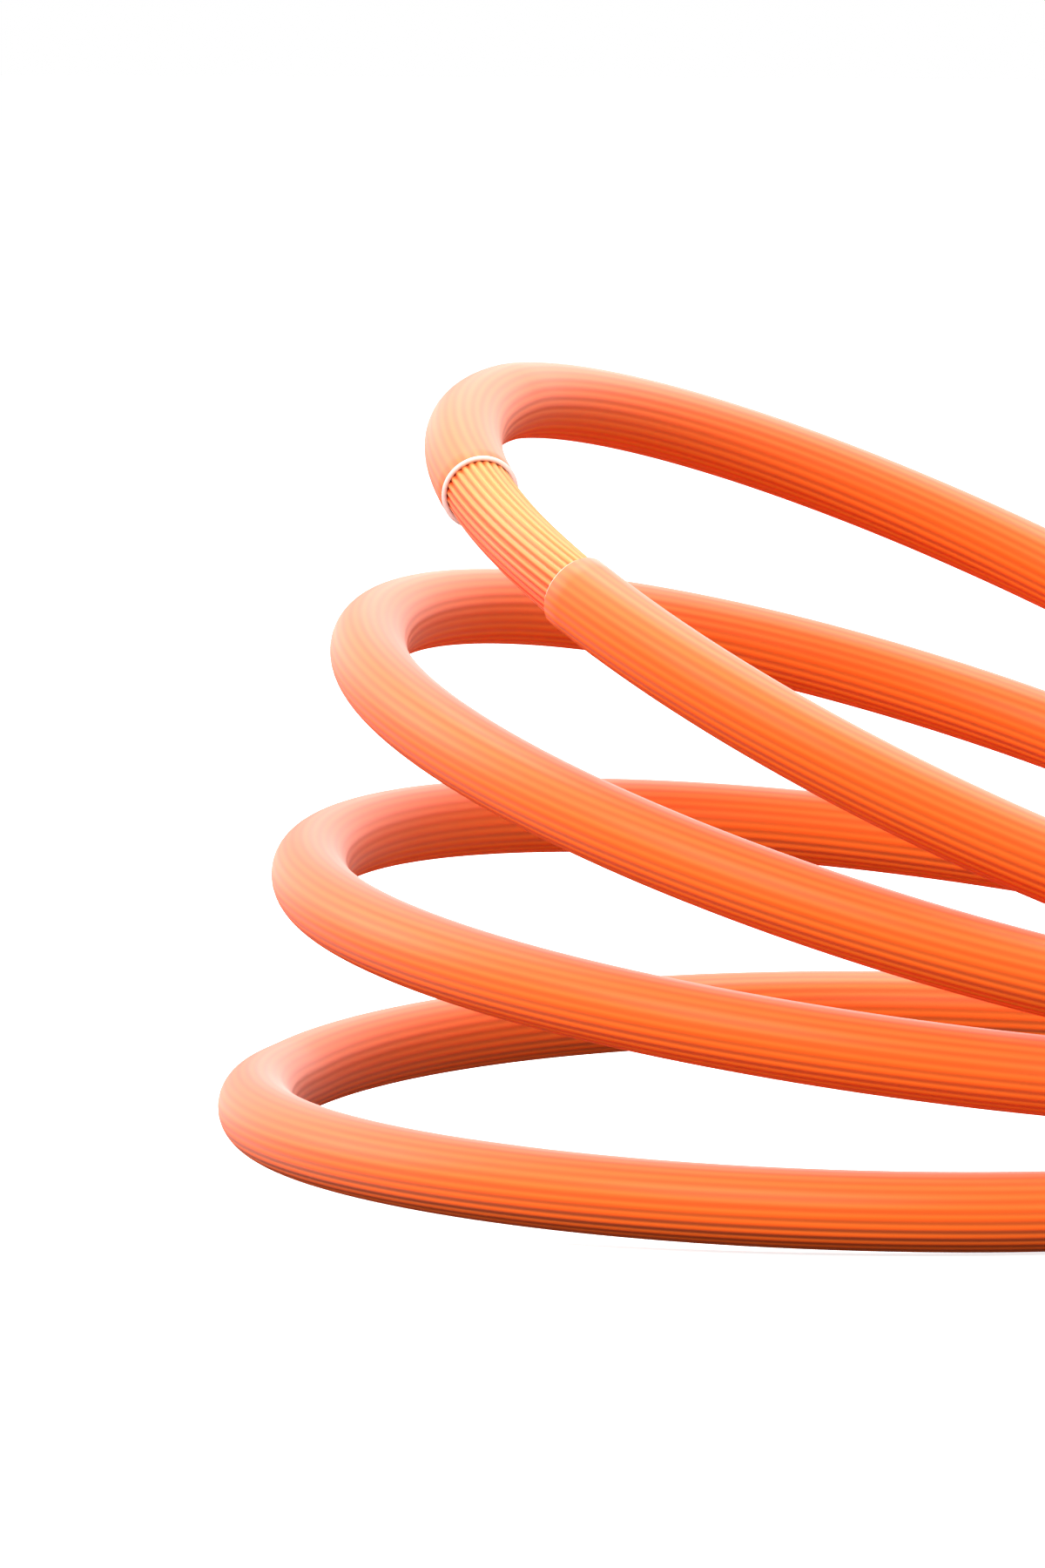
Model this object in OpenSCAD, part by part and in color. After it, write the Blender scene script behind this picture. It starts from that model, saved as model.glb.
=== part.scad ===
// Simplex fiber optic patch cord: a round jacketed cable, wound in four fanned turns
// and tied, with a push-pull connector of the SC style on each end. Millimetres, +Z up.
// The cord lies on Z = 0 and its connectors lie side by side, pointing along +X, with the
// origin on the surface midway between them. End a is at -Y and end b at +Y. A window
// where the jacket is cut away shows the ribbed layer under it.

/* [Cable] */
// Outer diameter of the jacket
jacket_od = 3.0; // [2.7:0.05:3.2]
// Thickness of the jacket's wall
jacket_wall = 0.18; // [0.12:0.02:0.3]
// Free gap between one layer of the cable and the next
layer_gap = 0.02; // [0.01:0.01:0.04]
// Diameter of the tight buffer over the glass fiber
buffer_od = 0.9; // [0.6:0.1:1.0]

/* [Coil] */
// Radius of the lowest turn
coil_r = 23.8; // [22.8:0.1:27]
// Free gap between neighbouring strands where they nest at the tie
strand_gap = 0.359; // [0.349:0.01:0.6]
// Sideways step of every second strand at the tie, either way from the middle
turn_step = 1.2; // [1.1:0.05:1.6]
// Turn at which the cut in the jacket starts, counted from end b
window_start = 3.325; // [3.32:0.005:3.35]
// Turn at which the cut in the jacket ends
window_end = 3.39; // [3.36:0.005:3.42]

/* [Tie] */
// Width of the hook-and-loop strap along the strands
strap_w = 6; // [4:0.5:6]
// Thickness of the strap
strap_t = 0.5; // [0.4:0.05:0.8]
// Length of the strap's free flap
flap_len = 7; // [4:0.5:9]

/* [Connector] */
// Width of the grip across its sides
grip_w = 9.0; // [8.6:0.1:11]
// Height of the grip without its key
grip_h = 7.4; // [7.2:0.1:7.8]
// Length of the grip
grip_len = 23.6; // [19:0.2:24]
// Thickness of the grip's wall
grip_wall = 0.8; // [0.6:0.05:0.9]
// How far the grip slides back on the plug frame
grip_travel = 1.9; // [1:0.1:2.2]
// Running gap between the grip and the plug frame on each side
grip_gap = 0.1; // [0.05:0.01:0.15]
// Width of the key on top of the grip
key_w = 2.0; // [1.5:0.1:3]
// Height of the key above the grip
key_h = 0.9; // [0.5:0.1:1.2]
// Length of the plug frame
frame_len = 18.5; // [18:0.1:20]

/* [Ferrule] */
// Diameter of the ceramic ferrule
ferrule_od = 2.5; // [2.4:0.05:2.6]
// Length of the ferrule
ferrule_len = 11; // [10:0.1:12]
// How far the ferrule gives way against its spring
ferrule_travel = 1.0; // [0.5:0.1:1.2]
// Clear space around the ferrule in front of the plug frame's web
cavity_gap = 0.95; // [0.85:0.05:1.1]
// How far the collar that the spring pushes on stands out past the ferrule
collar_lip = 0.85; // [0.5:0.05:0.9]
// Wire thickness of the spring
wire_d = 0.34; // [0.2:0.02:0.4]
// Turns of the spring
spring_turns = 5; // [4:1:8]

/* [Crimp and boot] */
// Outer diameter of the metal crimp ring
crimp_od = 4.5; // [4.4:0.05:4.6]
// Wall of the crimp ring over the stem
crimp_wall = 0.3; // [0.2:0.05:0.35]
// Length of the crimp ring
crimp_len = 11.4; // [10:0.1:11.4]
// Length of the tapered boot
boot_len = 28; // [26:0.5:28]
// Wall of the boot at its thin end
boot_tail_wall = 0.55; // [0.45:0.05:0.8]
// Wall of the boot's collar
boot_wall = 0.52; // [0.4:0.02:0.56]
// Number of slots along the boot
boot_slots = 6; // [3:1:6]

/* [Hidden] */
$fn = 48;

// Cable layers, from the outside in
jacket_id = jacket_od - 2 * jacket_wall;
strength_od = jacket_id - 2 * layer_gap;
strength_id = buffer_od + 2 * layer_gap;
cable_sides = 8;

// Strands at the tie: each turn's rise, and the height of the lowest one's middle
strap_gap_low = 0.3;
strap_gap_top = 0.35;
strand_pitch = jacket_od + strand_gap;
turn_rise = max(sqrt(max(pow(strand_pitch, 2) - pow(2 * turn_step, 2), 0)), strand_pitch / 2);
tie_z = strap_t + strap_gap_low + jacket_od / 2;

// The turns: radius and opening angle at each turn's far end, and roll at each tie pass.
// The lowest turn's front leans down by front_dip to lie on the surface.
turn_r = [coil_r, coil_r - 1.1, coil_r - 1.3, coil_r - 2.2];
turn_lift = [0.1, 9.4, 17.9, 27.6];
front_dip = 1.7;
tie_roll = [asin(front_dip / coil_r), -1.8, 0.8, -1.5, 0.2];
turns = 4;
rings_per_turn = 16;
hinge_x = -55.2;

// Distance from the middle plane to each connector's axis, where the tails below lead
connector_y = 20;

// Lengths along a connector, from the boot's thin end to the ferrule's tip
boot_x = -25.5;
stem_x = 21;
stem_len = 8.5;
shoulder_len = 1.5;
frame_x = stem_x + stem_len + shoulder_len;
chamber_x = frame_x + 1;
plug_len = 5.5;
web_x = frame_x + 10.3;
web_t = 1.2;
web_gap = 0.2;
collar_gap = 0.1;
collar_t = 2;
collar_front = web_x - collar_gap;
collar_back = collar_front - collar_t;
ferrule_seat = 1.2;
ferrule_x = collar_front - ferrule_seat;
ferrule_base_x = web_x + web_t + 0.1;
ferrule_taper = 0.06;
ferrule_chamfer = 0.3;
tail_x = chamber_x + ferrule_travel;
fiber_x = tail_x + 4;
socket_x = fiber_x + ferrule_travel + 0.5;
guide_set_back = 0.3;

// Diameters inside a connector
axis_z = grip_h / 2;
fit_gap = 0.03;
cable_gap = 0.05;
cavity_od = ferrule_od + 2 * cavity_gap;
collar_od = ferrule_od + 2 * collar_lip;
chamber_od = collar_od + 0.4;
plug_od = chamber_od - 2 * fit_gap;
stem_bore = 2.1;
tail_od = 1.9;
tail_bore = buffer_od + 0.1;
spring_bore = chamber_od - 1.2;
spring_gap = 0.23;
spring_r = (spring_bore - wire_d) / 2 - spring_gap;
guide_od = stem_bore - 2 * fit_gap;
guide_id = buffer_od + 0.2;
cable_bore = jacket_od + 2 * cable_gap;
crimp_id = crimp_od - 2 * crimp_wall;
crimp_x = frame_x - shoulder_len - 0.1 - crimp_len;
stem_od = crimp_id - 0.2;

// Raised rings around the stem, that the crimp ring presses on
stem_rings = 4;
stem_ring_x = stem_x + 1.5;
stem_ring_w = 0.6;
stem_ring_pitch = 1.6;

// Boot: its collar, and slots that leave a strip whole on two sides, turned in pairs
boot_tail_od = cable_bore + 2 * boot_tail_wall;
boot_bore = crimp_od + 2 * fit_gap;
boot_od = boot_bore + 2 * boot_wall;
boot_collar_x = 18;
slot_x = 2.5;
slot_w = 1.1;
slot_pitch = 2.3;
slot_strip = 2;

// Grip and plug frame
grip_front = frame_x + frame_len - 0.9;
grip_x = grip_front - grip_len;
cavity_w = grip_w - 2 * grip_wall;
cavity_h = grip_h - 2 * grip_wall;
frame_w = cavity_w - 2 * grip_gap;
frame_h = cavity_h - 2 * grip_gap;
shoulder_od = frame_h - 0.2;
grip_edge_r = 0.8;
frame_edge_r = 0.5;
grip_back_t = 1.5;
grip_back_bore = boot_od + 0.6;
boot_gap = 0.09;
lug_x = frame_x + 9;
lug_len = 2;
lug_h = 3.2;
lug_out = grip_wall - 0.1;
lug_gap = 0.2;
stop_gap = 0.1;

// Key on top of the grip, and the grooves across its sides
key_root = 0.4;
key_x0 = grip_x + 5;
key_x1 = grip_front - 1.5;
grooves = 5;
groove_x = grip_x + 2;
groove_w = 0.7;
groove_pitch = 1.6;
groove_depth = 0.25;
groove_h = grip_h - 2;

// How far a cut runs past the face that it opens
over = 1;

// Inside of the strap: the strands bend away a little over its width
strap_slack = 0.65;
strap_in_w = 2 * turn_step + jacket_od + 2 * strap_slack;
strap_floor = tie_z - jacket_od / 2 - strap_gap_low;
strap_top = tie_z + turns * turn_rise + jacket_od / 2 + strap_gap_top;
strap_corner = 1.2;

// The route from the tie to each connector, chosen by hand
tail_b = [
    [-53.2, 5.2, 2.6], [-51.3, 10, 2.8], [-48.1, 14.1, 3], [-44, 17.3, 3.2],
    [-39.2, 19.3, 3.4], [-34, 20, 3.6], [-29.5, 20, 3.7]
];
tail_a = [
    [-53.2, -5.2, 11.4], [-51.3, -10, 10.5], [-48.1, -14.1, 9.1], [-44, -17.3, 7.5],
    [-39.2, -19.3, 5.9], [-34, -20, 4.6], [-29.5, -20, 3.9]
];

// Value of a list at a place between its entries, held at both ends
function between(list, at) =
    let (last = len(list) - 1, k = min(max(at, 0), last), low = min(floor(k), last - 1))
    list[low] + (list[low + 1] - list[low]) * (k - low);

// Middle of the cable at turn t: whole numbers lie in the tie, halves at the far ends
function coil_point(t) =
    let (
        r = between(turn_r, t - 0.5),
        lift = between(turn_lift, t - 0.5),
        roll = between(tie_roll, t),
        out = r * (1 - cos(360 * t)),
        front = r * sin(360 * t)
    )
    [
        hinge_x + turn_step * cos(180 * t) - out * cos(lift) - front * sin(roll) * sin(lift),
        -front * cos(roll),
        tie_z + turn_rise * t + out * sin(lift) - front * sin(roll) * cos(lift)
    ];

function reversed(list) = [for (i = [len(list) - 1:-1:0]) list[i]];
function unit(v) = v / norm(v);

// Points on one end's axis inside its connector, at a distance from the boot's thin end
function on_axis(side, along) = [boot_x + along, side * connector_y, axis_z];

// Turns at which the cable has a ring, before, in and after the window
coil_steps = turns * rings_per_turn;
before_window = [
    for (i = [0:coil_steps]) if (i / rings_per_turn < window_start - 0.01) i / rings_per_turn
];
after_window = [
    for (i = [0:coil_steps]) if (i / rings_per_turn > window_end + 0.02) i / rings_per_turn
];
path_b = concat(
    [on_axis(1, stem_x), on_axis(1, 0)],
    reversed(tail_b),
    [for (t = before_window) coil_point(t)],
    [coil_point(window_start)]
);
path_a = concat(
    [coil_point(window_end)],
    [for (t = after_window) coil_point(t)],
    tail_a,
    [on_axis(-1, 0), on_axis(-1, stem_x)]
);
cable_path = concat(path_b, path_a);
cable_last = len(cable_path) - 1;
window_ring = len(path_b) - 1;
fiber_path = concat([on_axis(1, fiber_x)], cable_path, [on_axis(-1, fiber_x)]);

// Direction of a path at one of its points
function heading(path, i) =
    i == 0 ? unit(path[1] - path[0])
    : i == len(path) - 1 ? unit(path[i] - path[i - 1])
    : unit(unit(path[i + 1] - path[i]) + unit(path[i] - path[i - 1]));

// Ring of points around a path, square to it; keel is a direction that it never takes
function ring(path, i, r, sides, keel) =
    let (along = heading(path, i), across = unit(cross(along, keel)), up = cross(across, along))
    [for (k = [0:sides - 1]) path[i] + r * (cos(360 * k / sides) * across + sin(360 * k / sides) * up)];

// Triangles that join ring a to ring b, whose points start at those numbers
function band(a, b, sides) = [
    for (k = [0:sides - 1])
        let (n = (k + 1) % sides)
        each [[a + k, b + k, b + n], [a + k, b + n, a + n]]
];
function flipped(faces) = [for (f = faces) reversed(f)];
function fan(first, sides) = [for (k = [1:sides - 2]) [first, first + k, first + k + 1]];

// Solid rod along a path
module rod(path, r, sides, keel = [0, 0, 1]) {
    last = len(path) - 1;
    points = [for (i = [0:last]) each ring(path, i, r, sides, keel)];
    walls = [for (i = [0:last - 1]) each band(i * sides, (i + 1) * sides, sides)];
    polyhedron(points, concat(walls, fan(0, sides), flipped(fan(last * sides, sides))));
}

// Tube along the cable from one of its rings to another, open at both ends
module cable_tube(from, to, r_out, r_in) {
    sides = cable_sides;
    last = to - from;
    inner = (last + 1) * sides;
    points = [
        for (r = [r_out, r_in], i = [from:to]) each ring(cable_path, i, r, sides, [0, 0, 1])
    ];
    outside = [for (i = [0:last - 1]) each band(i * sides, (i + 1) * sides, sides)];
    inside = [for (f = outside) f + [inner, inner, inner]];
    ends = concat(
        flipped(band(0, inner, sides)),
        band(last * sides, inner + last * sides, sides)
    );
    polyhedron(points, concat(outside, flipped(inside), ends));
}

// Cylinder and box along a connector's axis, from x0 to x1
module turned(x0, x1, d) {
    translate([x0, 0, 0]) rotate([0, 90, 0]) cylinder(h = x1 - x0, d = d);
}

module bar(x0, x1, w, h) {
    translate([x0, -w / 2, -h / 2]) cube([x1 - x0, w, h]);
}

// Box along the axis with four round edges
module round_bar(x0, x1, w, h, r) {
    bar(x0, x1, w - 2 * r, h);
    bar(x0, x1, w, h - 2 * r);
    for (y = [-1, 1], z = [-1, 1])
        translate([0, y * (w / 2 - r), z * (h / 2 - r)]) turned(x0, x1, 2 * r);
}

// Places a connector's piece: side is -1 for end a and 1 for end b
module at_end(side) {
    translate([boot_x, side * connector_y, axis_z]) children();
}

module jacket_a() {
    color("darkorange")
        cable_tube(window_ring + 1, cable_last, jacket_od / 2, jacket_id / 2);
}

module jacket_b() {
    color("darkorange") cable_tube(0, window_ring, jacket_od / 2, jacket_id / 2);
}

module strength_layer() {
    color("sandybrown") cable_tube(0, cable_last, strength_od / 2, strength_id / 2);
}

module buffered_fiber() {
    color("ivory") rod(fiber_path, buffer_od / 2, cable_sides);
}

// Slab of the strap's outline, round the strands that pass through the tie
module strap_slab(grow, width) {
    high = strap_top - strap_floor + 2 * grow;
    translate([hinge_x, 0, (strap_floor + strap_top) / 2])
        rotate([0, 0, 90])
            round_bar(-width / 2, width / 2, strap_in_w + 2 * grow, high, strap_corner + grow);
}

// The flap is the strap's free end, pressed on beside the strands
module tie_strap() {
    flap_top = strap_top - strap_corner;
    color("dimgray") {
        difference() {
            strap_slab(strap_t, strap_w);
            strap_slab(0, strap_w + over);
        }
        translate([hinge_x + strap_in_w / 2 + strap_t, -strap_w / 2, flap_top - flap_len])
            cube([strap_t, strap_w, flap_len]);
    }
}

module grip() {
    color("wheat") difference() {
        union() {
            round_bar(grip_x, grip_front, grip_w, grip_h, grip_edge_r);
            translate([0, 0, (grip_h + key_h - key_root) / 2])
                bar(key_x0, key_x1, key_w, key_h + key_root);
        }
        bar(grip_x + grip_back_t, grip_front + over, cavity_w, cavity_h);
        turned(grip_x - over, grip_x + grip_back_t + over, grip_back_bore);
        turned(grip_x, boot_len + grip_travel + stop_gap, boot_od + 2 * boot_gap);
        for (y = [-grip_w / 2, grip_w / 2]) translate([0, y, 0]) {
            bar(
                lug_x - stop_gap, lug_x + lug_len + grip_travel + stop_gap,
                2 * (grip_wall + grip_gap), lug_h + 2 * lug_gap
            );
            for (i = [0:grooves - 1])
                translate([groove_x + groove_pitch * i, 0, 0])
                    bar(0, groove_w, 2 * groove_depth, groove_h);
        }
    }
}

module plug_frame() {
    frame_front = frame_x + frame_len;
    color("antiquewhite") difference() {
        union() {
            round_bar(frame_x, frame_front, frame_w, frame_h, frame_edge_r);
            bar(lug_x, lug_x + lug_len, frame_w + 2 * (grip_gap + lug_out), lug_h);
        }
        turned(frame_x - over, web_x, chamber_od);
        turned(web_x - over, web_x + web_t + over, ferrule_od + 2 * web_gap);
        turned(web_x + web_t, frame_front + over, cavity_od);
    }
}

// Cone along a connector's axis, from diameter d0 at x0 to d1 at x1
module tapered(x0, x1, d0, d1) {
    translate([x0, 0, 0]) rotate([0, 90, 0]) cylinder(h = x1 - x0, d1 = d0, d2 = d1);
}

// The base in the collar and the web tapers a hair, and the tip is chamfered
module ferrule() {
    tip = ferrule_x + ferrule_len;
    color("white") {
        tapered(ferrule_x, ferrule_base_x, ferrule_od - ferrule_taper, ferrule_od);
        turned(ferrule_base_x, tip - ferrule_chamfer, ferrule_od);
        tapered(tip - ferrule_chamfer, tip, ferrule_od, ferrule_od - 2 * ferrule_chamfer);
    }
}

module ferrule_collar() {
    color("silver") difference() {
        union() {
            turned(collar_back, collar_front, collar_od);
            turned(tail_x, collar_back, tail_od);
        }
        turned(tail_x - over, socket_x, tail_bore);
        turned(ferrule_x, collar_front + over, ferrule_od);
    }
}

module spring() {
    steps = 10;
    first = chamber_x + wire_d / 2 + fit_gap;
    last = collar_back - wire_d / 2 - fit_gap;
    helix = [
        for (i = [0:spring_turns * steps])
            let (a = 360 * i / steps, along = first + (last - first) * i / (spring_turns * steps))
            [along, spring_r * cos(a), spring_r * sin(a)]
    ];
    color("lightsteelblue") rod(helix, wire_d / 2, 6, [1, 0, 0]);
}

module crimp_body() {
    color("gainsboro") difference() {
        union() {
            turned(stem_x, frame_x, stem_od);
            for (i = [0:stem_rings - 1])
                translate([stem_ring_x + stem_ring_pitch * i, 0, 0])
                    turned(0, stem_ring_w, crimp_id - 2 * fit_gap);
            turned(frame_x - shoulder_len, frame_x, shoulder_od);
            turned(frame_x, frame_x + plug_len, plug_od);
        }
        turned(stem_x - over, chamber_x + over, stem_bore);
        turned(chamber_x, frame_x + plug_len + over, spring_bore);
    }
}

module guide_tube() {
    color("lightyellow") difference() {
        turned(stem_x + guide_set_back, frame_x, guide_od);
        turned(stem_x - over, frame_x + over, guide_id);
    }
}

module crimp_ring() {
    color("darkgray") difference() {
        turned(crimp_x, crimp_x + crimp_len, crimp_od);
        turned(crimp_x - over, stem_x + over, cable_bore);
        turned(stem_x, crimp_x + crimp_len + over, crimp_id);
    }
}

// The boot holds the crimp ring in its collar and tapers back over the cable
module boot() {
    color("bisque") difference() {
        union() {
            tapered(0, boot_collar_x, boot_tail_od, boot_od);
            turned(boot_collar_x, boot_len, boot_od);
        }
        turned(-over, boot_len + over, cable_bore);
        turned(crimp_x - 0.2, boot_len + over, boot_bore);
        for (i = [0:boot_slots - 1], side = [-1, 1])
            translate([slot_x + slot_pitch * i, 0, 0]) rotate([i % 2 == 0 ? 0 : 90, 0, 0])
                translate([0, side * (slot_strip + boot_od) / 2, 0])
                    bar(0, slot_w, boot_od, 2 * boot_od);
    }
}

jacket_a();
jacket_b();
strength_layer();
buffered_fiber();
tie_strap();
at_end(-1) grip();  // grip_a
at_end(-1) plug_frame();  // plug_frame_a
at_end(-1) ferrule();  // ferrule_a
at_end(-1) ferrule_collar();  // ferrule_collar_a
at_end(-1) spring();  // spring_a
at_end(-1) crimp_body();  // crimp_body_a
at_end(-1) guide_tube();  // guide_tube_a
at_end(-1) crimp_ring();  // crimp_ring_a
at_end(-1) boot();  // boot_a
at_end(1) grip();  // grip_b
at_end(1) plug_frame();  // plug_frame_b
at_end(1) ferrule();  // ferrule_b
at_end(1) ferrule_collar();  // ferrule_collar_b
at_end(1) spring();  // spring_b
at_end(1) crimp_body();  // crimp_body_b
at_end(1) guide_tube();  // guide_tube_b
at_end(1) crimp_ring();  // crimp_ring_b
at_end(1) boot();  // boot_b
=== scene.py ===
import math

import bpy
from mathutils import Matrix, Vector


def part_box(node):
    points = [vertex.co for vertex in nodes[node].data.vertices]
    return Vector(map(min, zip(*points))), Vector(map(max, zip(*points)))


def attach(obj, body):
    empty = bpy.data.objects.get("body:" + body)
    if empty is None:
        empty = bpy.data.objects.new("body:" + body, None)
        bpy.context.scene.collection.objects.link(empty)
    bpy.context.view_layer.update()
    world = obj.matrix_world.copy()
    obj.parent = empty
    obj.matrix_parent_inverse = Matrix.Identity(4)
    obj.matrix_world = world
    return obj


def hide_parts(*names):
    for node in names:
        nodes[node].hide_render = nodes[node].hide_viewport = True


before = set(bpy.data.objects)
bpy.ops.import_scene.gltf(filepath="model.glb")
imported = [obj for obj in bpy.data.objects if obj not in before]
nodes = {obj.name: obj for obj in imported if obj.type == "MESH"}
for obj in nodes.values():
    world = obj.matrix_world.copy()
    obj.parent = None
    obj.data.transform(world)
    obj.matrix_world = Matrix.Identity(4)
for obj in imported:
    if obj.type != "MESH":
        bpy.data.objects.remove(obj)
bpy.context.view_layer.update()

# The ribs of the inner layer, which the CAD leaves out: depth in metres, and number
GROOVE = 0.00009
RIBS = 26

# Sizes of the cable and of its coil, in metres and degrees, as in the CAD
JACKET_R = 0.0015
JACKET_BORE_R = 0.00132
CORE_R = 0.0013
HINGE_X = -0.0552
TIE_Z = 0.0023
TURN_STEP = 0.0012
STRAND_GAP = 0.000359
TURN_RISE = math.sqrt((2 * JACKET_R + STRAND_GAP) ** 2 - (2 * TURN_STEP) ** 2)
TURN_R = [0.0238, 0.0227, 0.0225, 0.0216]
TURN_LIFT = [0.1, 9.4, 17.9, 27.6]
FRONT_DIP = 0.0017
TIE_ROLL = [math.degrees(math.asin(FRONT_DIP / TURN_R[0])), -1.8, 0.8, -1.5, 0.2]
TURNS = 4
WINDOW = (3.325, 3.39)
TAIL_B = [
    (-0.0532, 0.0052, 0.0026), (-0.0513, 0.010, 0.0028), (-0.0481, 0.0141, 0.003),
    (-0.044, 0.0173, 0.0032), (-0.0392, 0.0193, 0.0034), (-0.034, 0.020, 0.0036),
    (-0.0295, 0.020, 0.0037),
]
TAIL_A = [
    (-0.0532, -0.0052, 0.0114), (-0.0513, -0.010, 0.0105), (-0.0481, -0.0141, 0.0091),
    (-0.044, -0.0173, 0.0075), (-0.0392, -0.0193, 0.0059), (-0.034, -0.020, 0.0046),
    (-0.0295, -0.020, 0.0039),
]

# The connectors' axes, and where the cable enters the boot and ends on the stem
PLACES = 6
axis_lo, axis_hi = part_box("ferrule_b")
AXIS_Y = round((axis_lo.y + axis_hi.y) / 2, PLACES)
AXIS_Z = round((axis_lo.z + axis_hi.z) / 2, PLACES)
BOOT_X = round(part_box("boot_b")[0].x, PLACES)
STEM_X = round(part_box("jacket_b")[1].x, PLACES)


# ---- Camera ----
AZIMUTH = 19.2
ELEVATION = 4.04
DISTANCE = 0.4869
LENS = 284.5
AIM_INSIDE = 0.0113
AIM_HEIGHT = 0.0155
AIM = Vector((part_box("jacket_b")[0].x + AIM_INSIDE, 0.0, AIM_HEIGHT))

a, e = math.radians(AZIMUTH), math.radians(ELEVATION)
back = Vector((math.sin(a) * math.cos(e), -math.cos(a) * math.cos(e), math.sin(e)))
cam_data = bpy.data.cameras.new("camera")
cam_data.lens = LENS
cam_data.sensor_width = 36
cam_data.clip_start = 0.05
cam_data.clip_end = 20
camera = bpy.data.objects.new("camera", cam_data)
camera.location = AIM + back * DISTANCE
camera.rotation_mode = "QUATERNION"
camera.rotation_quaternion = (-back).to_track_quat("-Z", "Y")
bpy.context.scene.collection.objects.link(camera)
bpy.context.scene.camera = camera


# ---- The cable's route ----
def between(values, at):
    """Value of a list at a place between its entries, held at both ends."""
    k = min(max(at, 0), len(values) - 1)
    low = min(int(k), len(values) - 2)
    return values[low] + (values[low + 1] - values[low]) * (k - low)


def coil_point(t):
    """Middle of the cable at turn t: whole numbers lie in the tie, halves at the far ends."""
    r = between(TURN_R, t - 0.5)
    lift = math.radians(between(TURN_LIFT, t - 0.5))
    roll = math.radians(between(TIE_ROLL, t))
    out = r * (1 - math.cos(2 * math.pi * t))
    front = r * math.sin(2 * math.pi * t)
    return Vector((
        HINGE_X + TURN_STEP * math.cos(math.pi * t) - out * math.cos(lift)
        - front * math.sin(roll) * math.sin(lift),
        -front * math.cos(roll),
        TIE_Z + TURN_RISE * t + out * math.sin(lift)
        - front * math.sin(roll) * math.cos(lift),
    ))


def spline(points, per_span):
    """Smooth line through the points; the first and the last only steer it."""
    made = []
    for i in range(1, len(points) - 2):
        p0, p1, p2, p3 = points[i - 1:i + 3]
        m1 = (p2 - p0) * ((p2 - p1).length / (p2 - p0).length)
        m2 = (p3 - p1) * ((p2 - p1).length / (p3 - p1).length)
        for k in range(per_span):
            u = k / per_span
            made.append(
                p1 * (2 * u**3 - 3 * u**2 + 1) + m1 * (u**3 - 2 * u**2 + u)
                + p2 * (3 * u**2 - 2 * u**3) + m2 * (u**3 - u**2)
            )
    made.append(points[-2].copy())
    return made


# Points on each turn and between two points of a tail. How far from a tail's ends, in turns
# and in metres, the points lie that only steer it.
STEPS = 165
PER_SPAN = 6
BEFORE = 0.03
BEYOND = 0.005


def turn_points(t0, t1):
    """Points along the coil from turn t0 to turn t1, both included."""
    count = max(2, round((t1 - t0) * STEPS))
    return [coil_point(t0 + (t1 - t0) * i / count) for i in range(count + 1)]


def tail(points, side, t_end, t_near):
    """From the tie to the stem inside a connector."""
    line = [coil_point(t_near), coil_point(t_end)]
    line += [Vector(p) for p in points]
    line += [Vector((BOOT_X, side * AXIS_Y, AXIS_Z)), Vector((STEM_X, side * AXIS_Y, AXIS_Z))]
    line.append(line[-1] + Vector((BEYOND, 0, 0)))
    return spline(line, PER_SPAN)


tail_a = tail(TAIL_A, -1, TURNS, TURNS - BEFORE)
tail_b = tail(TAIL_B, 1, 0, BEFORE)
route_b = tail_b[::-1][:-1] + turn_points(0, WINDOW[0])
route_window = turn_points(*WINDOW)
route_a = turn_points(WINDOW[1], TURNS)[:-1] + tail_a
route = route_b[:-1] + route_window[:-1] + route_a


def rings(path):
    """For every point of a path: the point, and two directions square to the path."""
    made = []
    for i, p in enumerate(path):
        ahead = path[min(i + 1, len(path) - 1)]
        behind = path[max(i - 1, 0)]
        along = (ahead - behind).normalized()
        across = along.cross(Vector((0, 0, 1))).normalized()
        made.append((p, across, across.cross(along)))
    return made


def mesh_object(name, verts, faces, smooth=True):
    data = bpy.data.meshes.new(name)
    data.from_pydata(verts, [], faces)
    data.validate()
    data.update()
    if smooth:
        data.polygons.foreach_set("use_smooth", [True] * len(data.polygons))
    obj = bpy.data.objects.new(name, data)
    bpy.context.scene.collection.objects.link(obj)
    return obj


def sweep(name, path, profile):
    """Solid along a path; profile is a list of (angle, radius)."""
    n = len(profile)
    verts, faces = [], []
    for p, across, up in rings(path):
        for angle, r in profile:
            verts.append(p + (across * math.cos(angle) + up * math.sin(angle)) * r)
    for i in range(len(path) - 1):
        for k in range(n):
            m = (k + 1) % n
            faces.append((i * n + k, i * n + m, (i + 1) * n + m, (i + 1) * n + k))
    faces.append(tuple(range(n - 1, -1, -1)))
    faces.append(tuple((len(path) - 1) * n + k for k in range(n)))
    return mesh_object(name, verts, faces)


def shell(name, path, r_out, r_in, sides, lip):
    """Tube with a wall along a path; its ends are rounded over lip."""
    ring_list = rings(path)
    last = len(path) - 1
    loops = []
    for i in range(last + 1):
        loops.append((i, r_out - (lip if i in (0, last) else 0)))
    for i in range(last, -1, -1):
        loops.append((i, r_in - (lip / 4 if i in (0, last) else 0)))
    verts, faces = [], []
    for i, r in loops:
        p, across, up = ring_list[i]
        for k in range(sides):
            angle = 2 * math.pi * k / sides
            verts.append(p + (across * math.cos(angle) + up * math.sin(angle)) * r)
    count = len(loops)
    for j in range(count):
        j2 = (j + 1) % count
        for k in range(sides):
            m = (k + 1) % sides
            faces.append((j * sides + k, j * sides + m, j2 * sides + m, j2 * sides + k))
    return mesh_object(name, verts, faces)


PER_RIB = 8


def fluted():
    """Outline of the ribbed layer, with a groove between neighbouring ribs."""
    count = RIBS * PER_RIB
    angles = [2 * math.pi * k / count for k in range(count)]
    return [(a, CORE_R - GROOVE * (1 - abs(math.cos(a * RIBS / 2)))) for a in angles]


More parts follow.
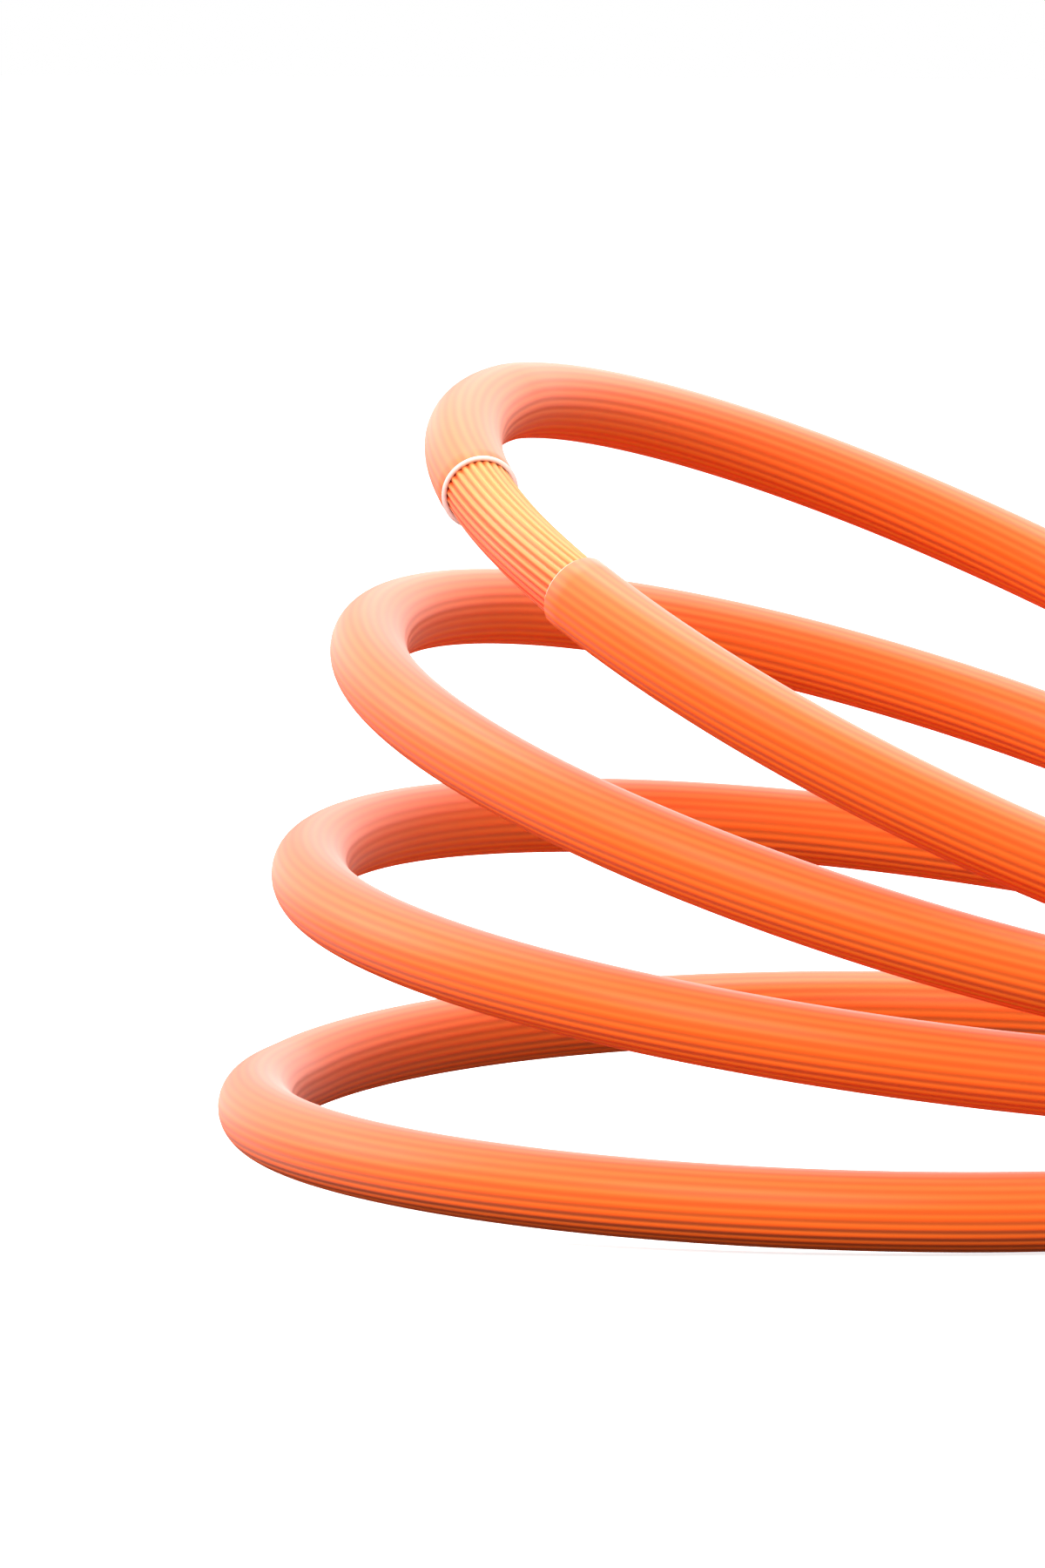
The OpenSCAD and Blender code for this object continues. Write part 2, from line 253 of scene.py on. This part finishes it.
def mark_round(obj, path, sides, loops=None):
    """Stores, at every point, its place round the cable and its distance along it."""
    dist = [0.0]
    for q, r in zip(path, path[1:]):
        dist.append(dist[-1] + (r - q).length)
    values = []
    for i in loops if loops else range(len(path)):
        for k in range(sides):
            angle = 2 * math.pi * k / sides
            values += [math.cos(angle), math.sin(angle), dist[i]]
    attribute = obj.data.attributes.new("round", "FLOAT_VECTOR", "POINT")
    attribute.data.foreach_set("vector", values)


core = sweep("ribbed_core", route, fluted())
mark_round(core, route, RIBS * PER_RIB)
# The bare look goes on a few rings further than the window, under the jackets' ends
HIDDEN_RINGS = 3
first_bare = len(route_b) - 1 - HIDDEN_RINGS
last_bare = len(route_b) + len(route_window) - 2 + HIDDEN_RINGS
for face in core.data.polygons:
    ring_no = face.index // (RIBS * PER_RIB)
    face.material_index = 1 if first_bare <= ring_no < last_bare else 0

JACKET_SIDES = 72
BEVEL = 0.06
INSIDE = 0.000001


def jacket(name, path, lip):
    """Jacket along a path, a hair inside the CAD's; its ends and their bevels show the rim, coloured
    pale as a painted highlight.
    """
    first = path[0].lerp(path[1], BEVEL)
    last = path[-1].lerp(path[-2], BEVEL)
    path = [path[0], first] + path[1:-1] + [last, path[-1]]
    obj = shell(name, path, JACKET_R - INSIDE, JACKET_BORE_R, JACKET_SIDES, lip)
    n = len(path)
    mark_round(obj, path, JACKET_SIDES, list(range(n)) + list(range(n - 1, -1, -1)))
    for face in obj.data.polygons:
        j = face.index // JACKET_SIDES
        face.material_index = 1 if j in (0, n - 2, n - 1, 2 * n - 1) else 0
    return obj


jacket_b = jacket("jacket_tube_b", route_b, lip=0.00004)
jacket_a = jacket("jacket_tube_a", route_a, lip=0.00003)


# ---- Materials ----
def material(name):
    """A new material, its node tree and its main shader."""
    mat = bpy.data.materials.new(name)
    mat.use_nodes = True
    return mat, mat.node_tree, mat.node_tree.nodes["Principled BSDF"]


def math_node(tree, kind, a, b):
    node = tree.nodes.new("ShaderNodeMath")
    node.operation = kind
    for socket, value in zip(node.inputs, (a, b)):
        if isinstance(value, (int, float)):
            socket.default_value = value
        else:
            tree.links.new(value, socket)
    return node.outputs[0]


def linear(tree, value, factor, offset):
    """value * factor + offset"""
    return math_node(tree, "ADD", math_node(tree, "MULTIPLY", value, factor), offset)


def blend(tree, first, second, share):
    """share of the first value and the rest of the second."""
    return linear(tree, first, share, math_node(tree, "MULTIPLY", second, 1 - share))


def drawn_out(tree, vector, factors):
    scale = tree.nodes.new("ShaderNodeVectorMath")
    scale.operation = "MULTIPLY"
    scale.inputs[1].default_value = factors
    tree.links.new(vector, scale.inputs[0])
    return scale.outputs[0]


def split(tree, vector):
    parts = tree.nodes.new("ShaderNodeSeparateXYZ")
    tree.links.new(vector, parts.inputs[0])
    return parts.outputs


def noise(tree, vector, scale, detail):
    """Fine grain; vector is the place that it's taken at."""
    node = tree.nodes.new("ShaderNodeTexNoise")
    node.inputs["Scale"].default_value = scale
    node.inputs["Detail"].default_value = detail
    tree.links.new(vector, node.inputs["Vector"])
    return node.outputs["Fac"]


def raised(tree, height, depth, socket):
    """Bumps the surface by a height from 0 to 1, depth metres at most."""
    bump = tree.nodes.new("ShaderNodeBump")
    bump.inputs["Strength"].default_value = 1.0
    bump.inputs["Distance"].default_value = depth
    tree.links.new(height, bump.inputs["Height"])
    tree.links.new(bump.outputs["Normal"], socket)


def rib_height(tree, place):
    """1 along the middle of each rib and 0 in the grooves; also how far up the place lies."""
    parts = split(tree, place)
    angle = math_node(tree, "ARCTAN2", parts["Y"], parts["X"])
    wave = math_node(tree, "COSINE", math_node(tree, "MULTIPLY", angle, RIBS / 2), 0)
    return math_node(tree, "MULTIPLY", wave, wave), parts["Y"]


def two_tone(tree, fac, low, high, socket, stops=(0, 1)):
    """Colour from low to high as fac goes from the first stop to the second."""
    ramp = tree.nodes.new("ShaderNodeValToRGB")
    for element, stop, color in zip(ramp.color_ramp.elements, stops, (low, high)):
        element.position = stop
        element.color = (*color, 1)
    tree.links.new(fac, ramp.inputs[0])
    tree.links.new(ramp.outputs[0], socket)


# Fine streaks: how often they change across the cable and along it, per metre along
STREAKS = (7, 7, 90)
STREAK_DETAIL = 3
# Painted top sheen, a painted highlight: sheen and coat are weighted more on the upper side. Its
# value at the sides, its change to the top, and the least
TOP_SHEEN_SIDE = 0.55
TOP_SHEEN_RISE = 0.6
TOP_SHEEN_LEAST = 0.08
# Relief of the ribs without the painted top sheen, and what the full painted top sheen takes from it
RELIEF_FULL = 1.1
RELIEF_LOST = 0.9


def ribbed(name, low, high, rough, relief, grain, stops=(0, 1), painted_top_light=0):
    """Strands side by side: relief gives the ribs their shading, grain the fine streaks.

    Also gives the painted top sheen, a painted highlight: full on top, little below.
    """
    mat, tree, p = material(name)
    round_cable = tree.nodes.new("ShaderNodeAttribute")
    round_cable.attribute_name = "round"
    place = round_cable.outputs["Vector"]
    height, upward = rib_height(tree, place)
    # Share of sheen and coat, larger towards the top of the cable: a painted highlight on the upper
    # side
    painted_top_sheen = linear(tree, upward, TOP_SHEEN_RISE, TOP_SHEEN_SIDE)
    painted_top_sheen = math_node(tree, "MINIMUM", math_node(tree, "MAXIMUM", painted_top_sheen, TOP_SHEEN_LEAST), 1.0)
    fine = noise(tree, drawn_out(tree, place, STREAKS), 1.0, STREAK_DETAIL)
    # The share given for the upper side lightens the colour there: a painted highlight on top
    shade = linear(tree, upward, painted_top_light, blend(tree, fine, height, grain))
    # Colour runs from low in the grooves to high on the ribs: the darker grooves are painted shade,
    # the fine streaks are the strands' own tone
    two_tone(tree, shade, low, high, p.inputs["Base Color"], stops)
    if relief:
        share = linear(tree, painted_top_sheen, -RELIEF_LOST, RELIEF_FULL)
        raised(tree, math_node(tree, "MULTIPLY", height, share), relief, p.inputs["Normal"])
    p.inputs["Roughness"].default_value = rough
    return mat, p, painted_top_sheen


def coated(tree, p, painted_top_sheen, weight, ior, rough):
    tree.links.new(math_node(tree, "MULTIPLY", painted_top_sheen, weight), p.inputs["Coat Weight"])
    p.inputs["Coat IOR"].default_value = ior
    p.inputs["Coat Roughness"].default_value = rough


def sheened(tree, p, painted_top_sheen, weight, rough, tint):
    tree.links.new(math_node(tree, "MULTIPLY", painted_top_sheen, weight), p.inputs["Sheen Weight"])
    p.inputs["Sheen Roughness"].default_value = rough
    p.inputs["Sheen Tint"].default_value = (*tint, 1)


# Share of the broad noise in a shade, its scale beside the fine one, and its effect on gloss
BROAD_WEIGHT = 0.65
BROAD_SCALE = 0.08
ROUGH_SPREAD = 0.2
SHADE_STOPS = (0.3, 0.7)


def object_place(tree):
    return tree.nodes.new("ShaderNodeTexCoord").outputs["Object"]


def varied(name, low, high, rough, grain, depth, draw=(1, 1, 1), metallic=0.0):
    """Surface whose colour, gloss and relief all vary; grain is the number of specks a metre."""
    mat, tree, p = material(name)
    place = object_place(tree)
    fine = noise(tree, drawn_out(tree, place, draw), grain, 4)
    broad = noise(tree, place, grain * BROAD_SCALE, 3)
    shade = blend(tree, broad, fine, BROAD_WEIGHT)
    two_tone(tree, shade, low, high, p.inputs["Base Color"], SHADE_STOPS)
    tree.links.new(linear(tree, broad, ROUGH_SPREAD, rough - ROUGH_SPREAD / 2), p.inputs["Roughness"])
    raised(tree, fine, depth, p.inputs["Normal"])
    p.inputs["Metallic"].default_value = metallic
    return mat, p


# Share of the weave beside the fuzz, and the fuzz's grains to a thread
WEAVE_WEIGHT = 0.7
FUZZ_SCALE = 2.5
WEAVE_STOPS = (0.25, 0.85)


def woven(name, low, high, threads, depth):
    """Basket weave: threads a metre across the tape and round it, with loose fuzz."""
    mat, tree, p = material(name)
    place = object_place(tree)
    parts = split(tree, place)
    turn = 2 * math.pi * threads
    across = math_node(tree, "SINE", math_node(tree, "MULTIPLY", parts["Y"], turn), 0)
    around = math_node(tree, "ADD", parts["X"], parts["Z"])
    around = math_node(tree, "SINE", math_node(tree, "MULTIPLY", around, turn), 0)
    weave = linear(tree, math_node(tree, "MULTIPLY", across, around), 0.5, 0.5)
    height = blend(tree, weave, noise(tree, place, threads * FUZZ_SCALE, 4), WEAVE_WEIGHT)
    two_tone(tree, height, low, high, p.inputs["Base Color"], WEAVE_STOPS)
    raised(tree, height, depth, p.inputs["Normal"])
    p.inputs["Roughness"].default_value = 0.95
    p.inputs["Specular IOR Level"].default_value = 0.2
    return mat, p


def jacket_look():
    # The low colour, in the grooves, is painted shade; the high one is the ribs' orange
    mat, p, painted_top_sheen = ribbed(
        "jacket", (0.90, 0.09, 0.005), (0.99, 0.185, 0.022), rough=0.6, relief=0.000055, grain=0.45
    )
    p.inputs["Specular IOR Level"].default_value = 0.0
    # Sheen and coat weighted by the painted top sheen: a painted highlight on the upper side
    sheened(mat.node_tree, p, painted_top_sheen, 0.9, 0.5, (1.0, 0.76, 0.71))
    coated(mat.node_tree, p, painted_top_sheen, 0.75, 1.34, 0.42)
    return mat


def bare_look():
    # The pale-yellow upper side from the share for the top is a painted highlight
    mat, p, painted_top_sheen = ribbed(
        "ribbed_bare", (0.84, 0.05, 0.006), (0.94, 0.31, 0.09), rough=0.38, relief=0, grain=0.4,
        stops=(0.2, 1.25), painted_top_light=0.38,
    )
    p.inputs["Specular IOR Level"].default_value = 0.2
    # Sheen weighted by the painted top sheen: a painted pale-yellow highlight on the upper side
    sheened(mat.node_tree, p, painted_top_sheen, 0.6, 0.3, (1.0, 0.84, 0.5))
    return mat


jacket_mat = jacket_look()
bare_mat = bare_look()
covered_mat = ribbed(
    "ribbed_covered", (0.90, 0.14, 0.02), (0.95, 0.2, 0.03), rough=0.45, relief=0, grain=0.5
)[0]
# Pale colour for the jacket's cut ends and their bevels: a painted highlight where the rim catches
# the light
rim_highlight_mat = varied("jacket_rim_highlight", (0.93, 0.80, 0.74), (0.97, 0.90, 0.87), 0.4, 6000, 0.00001)[0]

core.data.materials.append(covered_mat)
core.data.materials.append(bare_mat)
for tube in (jacket_a, jacket_b):
    tube.data.materials.append(jacket_mat)
    tube.data.materials.append(rim_highlight_mat)

# Grain drawn out along a connector, or round it
ALONG = (0.06, 1, 1)
AROUND = (1, 0.06, 0.06)
looks = {
    "tie_strap": woven("strap", (0.004, 0.004, 0.005), (0.05, 0.05, 0.055), 1500, 0.00012),
    "grip": varied("grip", (0.46, 0.38, 0.26), (0.56, 0.48, 0.35), 0.45, 5000, 0.00003),
    "plug_frame": varied("frame", (0.60, 0.54, 0.44), (0.68, 0.62, 0.52), 0.4, 3500, 0.00001),
    "ferrule": varied("ceramic", (0.86, 0.86, 0.82), (0.93, 0.93, 0.91), 0.16, 3000, 0.000003),
    "ferrule_collar": varied("collar", (0.58, 0.58, 0.6), (0.72, 0.72, 0.74), 0.3, 9000,
                             0.000008, AROUND, 1.0),
    "spring": varied("spring", (0.5, 0.5, 0.52), (0.66, 0.66, 0.68), 0.25, 4000, 0.000004,
                     metallic=1.0),
    "crimp_body": varied("crimp_body", (0.52, 0.52, 0.53), (0.68, 0.68, 0.68), 0.35, 9000,
                         0.00001, AROUND, 1.0),
    "guide_tube": varied("guide", (0.80, 0.80, 0.76), (0.88, 0.88, 0.85), 0.4, 5000, 0.00001,
                         ALONG),
    "crimp_ring": varied("crimp_ring", (0.55, 0.55, 0.54), (0.70, 0.70, 0.69), 0.38, 7000,
                         0.00002, ALONG, 1.0),
    "boot": varied("boot", (0.46, 0.37, 0.25), (0.55, 0.46, 0.33), 0.6, 4500, 0.00003),
    "buffered_fiber": varied("buffer", (0.87, 0.84, 0.75), (0.93, 0.91, 0.84), 0.4, 5000,
                             0.000008),
}
for _, p in (looks["grip"], looks["boot"]):
    p.inputs["Specular IOR Level"].default_value = 0.35
for name, node in nodes.items():
    key = name.removesuffix("_a").removesuffix("_b")
    if key in looks:
        for s in node.material_slots:
            s.link = "OBJECT"
            s.material = looks[key][0]


# ---- Bodies: the new cable parts join the cord's body in place of the parts they replace ----
for obj, slot, old in (
    (core, "ribbed_layer", ["strength_layer"]),
    (jacket_a, "jacket", ["jacket_a"]),
    (jacket_b, "jacket", ["jacket_b"]),
):
    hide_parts(*old)
    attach(obj, "cord")


# ---- Floor and light ----
FLOOR_HALF = 3
FLOOR_GLOW = 0.78
WORLD_LIGHT = 0.28
WHITE = (1, 1, 1, 1)


def seen_directly(tree):
    """1 for rays from the camera, and 1 for those seen in gloss or through glass."""
    paths = tree.nodes.new("ShaderNodeLightPath")
    shine = math_node(tree, "MAXIMUM", paths.outputs["Is Glossy Ray"],
                      paths.outputs["Is Transmission Ray"])
    return paths.outputs["Is Camera Ray"], shine


def mixed(tree, fac, first, second):
    mix = tree.nodes.new("ShaderNodeMixShader")
    for socket, value in zip(mix.inputs, (fac, first, second)):
        tree.links.new(value, socket)
    return mix.outputs[0]


def glow(tree, strength):
    lamp = tree.nodes.new("ShaderNodeEmission")
    lamp.inputs["Strength"].default_value = strength
    return lamp.outputs[0]


def floor_look():
    """White to the camera with the object's shadow on it, white in gloss, dim to other rays."""
    mat, tree, p = material("floor")
    p.inputs["Base Color"].default_value = (0.80, 0.80, 0.80, 1)
    p.inputs["Roughness"].default_value = 1.0
    p.inputs["Specular IOR Level"].default_value = 0.0
    shadowed = tree.nodes.new("ShaderNodeAddShader")
    tree.links.new(p.outputs[0], shadowed.inputs[0])
    tree.links.new(glow(tree, FLOOR_GLOW), shadowed.inputs[1])
    dim = tree.nodes.new("ShaderNodeBsdfDiffuse")
    dim.inputs["Color"].default_value = (0.17, 0.15, 0.14, 1)
    seen, shine = seen_directly(tree)
    look = mixed(tree, shine, dim.outputs[0], glow(tree, 1.0))
    look = mixed(tree, seen, look, shadowed.outputs[0])
    tree.links.new(look, tree.nodes["Material Output"].inputs["Surface"])
    return mat


def background(node, strength):
    node.inputs["Color"].default_value = WHITE
    node.inputs["Strength"].default_value = strength
    return node.outputs[0]


def light_world():
    """White where it's seen, dimmer as a light."""
    world = bpy.data.worlds.new("world")
    bpy.context.scene.world = world
    world.use_nodes = True
    tree = world.node_tree
    lit = background(tree.nodes["Background"], WORLD_LIGHT)
    white = background(tree.nodes.new("ShaderNodeBackground"), 1.0)
    either = math_node(tree, "MAXIMUM", *seen_directly(tree))
    look = mixed(tree, either, lit, white)
    tree.links.new(look, tree.nodes["World Output"].inputs["Surface"])


def panel(name, offset, size, power, color):
    """Soft rectangular light at an offset from the aim, facing it."""
    data = bpy.data.lights.new(name, "AREA")
    data.shape = "RECTANGLE"
    data.size, data.size_y = size
    data.energy = power
    data.color = color
    obj = bpy.data.objects.new(name, data)
    obj.location = AIM + Vector(offset)
    obj.rotation_mode = "QUATERNION"
    obj.rotation_quaternion = (-Vector(offset)).to_track_quat("-Z", "Y")
    bpy.context.scene.collection.objects.link(obj)


far, near = FLOOR_HALF, -FLOOR_HALF
floor = mesh_object(
    "floor", [(near, near, 0), (far, near, 0), (far, far, 0), (near, far, 0)], [(0, 1, 2, 3)],
    smooth=False,
)
floor.data.materials.append(floor_look())

bpy.context.scene.view_settings.view_transform = "Standard"
light_world()
panel("key", (-0.05, -0.60, 0.42), (0.6, 0.4), 6.1, (1.0, 0.98, 0.96))
panel("top", (0.0, 0.20, 0.65), (0.7, 0.3), 7.0, (1.0, 0.97, 0.94))
panel("left", (-0.60, -0.05, 0.30), (0.35, 0.45), 3.8, (1.0, 0.83, 0.90))
panel("right", (0.60, -0.25, 0.12), (0.35, 0.45), 1.3, (1.0, 0.92, 0.88))
